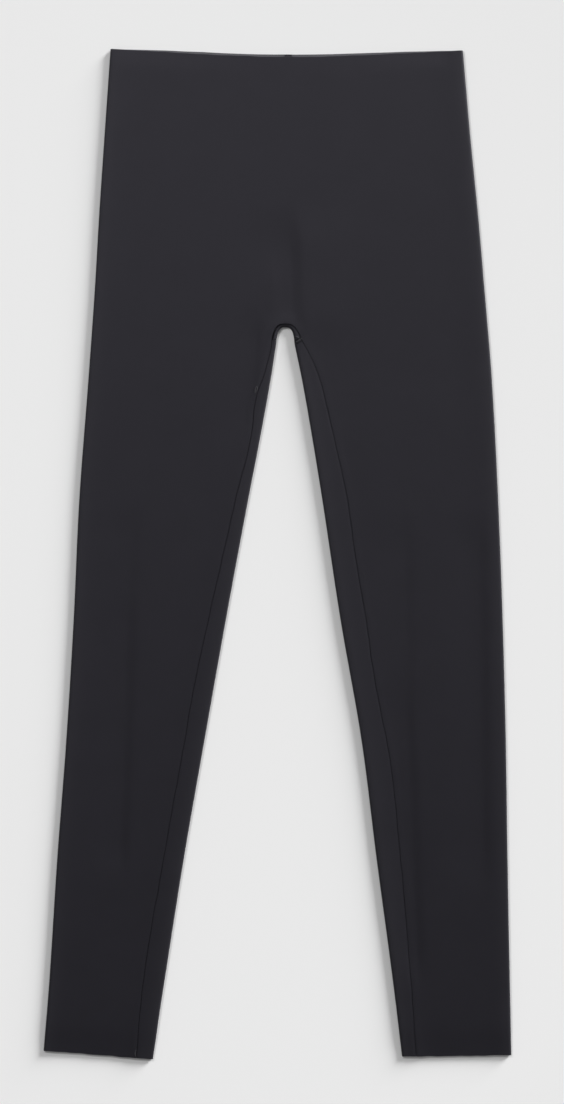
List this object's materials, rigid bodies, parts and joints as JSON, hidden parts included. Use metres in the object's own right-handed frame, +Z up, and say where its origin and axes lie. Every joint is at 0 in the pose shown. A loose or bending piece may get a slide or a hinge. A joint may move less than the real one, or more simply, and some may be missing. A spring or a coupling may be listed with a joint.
{
  "type": "leggings",
  "caption": "Full-length leggings of smooth stretch knit, laid flat with the front up, with clean-cut waist and hems and a crotch gusset.",
  "frame": {"origin": "centre of the outline, on the surface that the leggings lie on", "axes": "+X to the right of someone looking down on the front, +Y towards the waist, +Z up out of the front"},
  "size_m": [0.4538, 0.9794, 0.0046],
  "materials": {
    "knit": "matt"
  },
  "bodies": {
    "root": {"body": "knit", "gusset": "knit"}
  },
  "joints": []
}
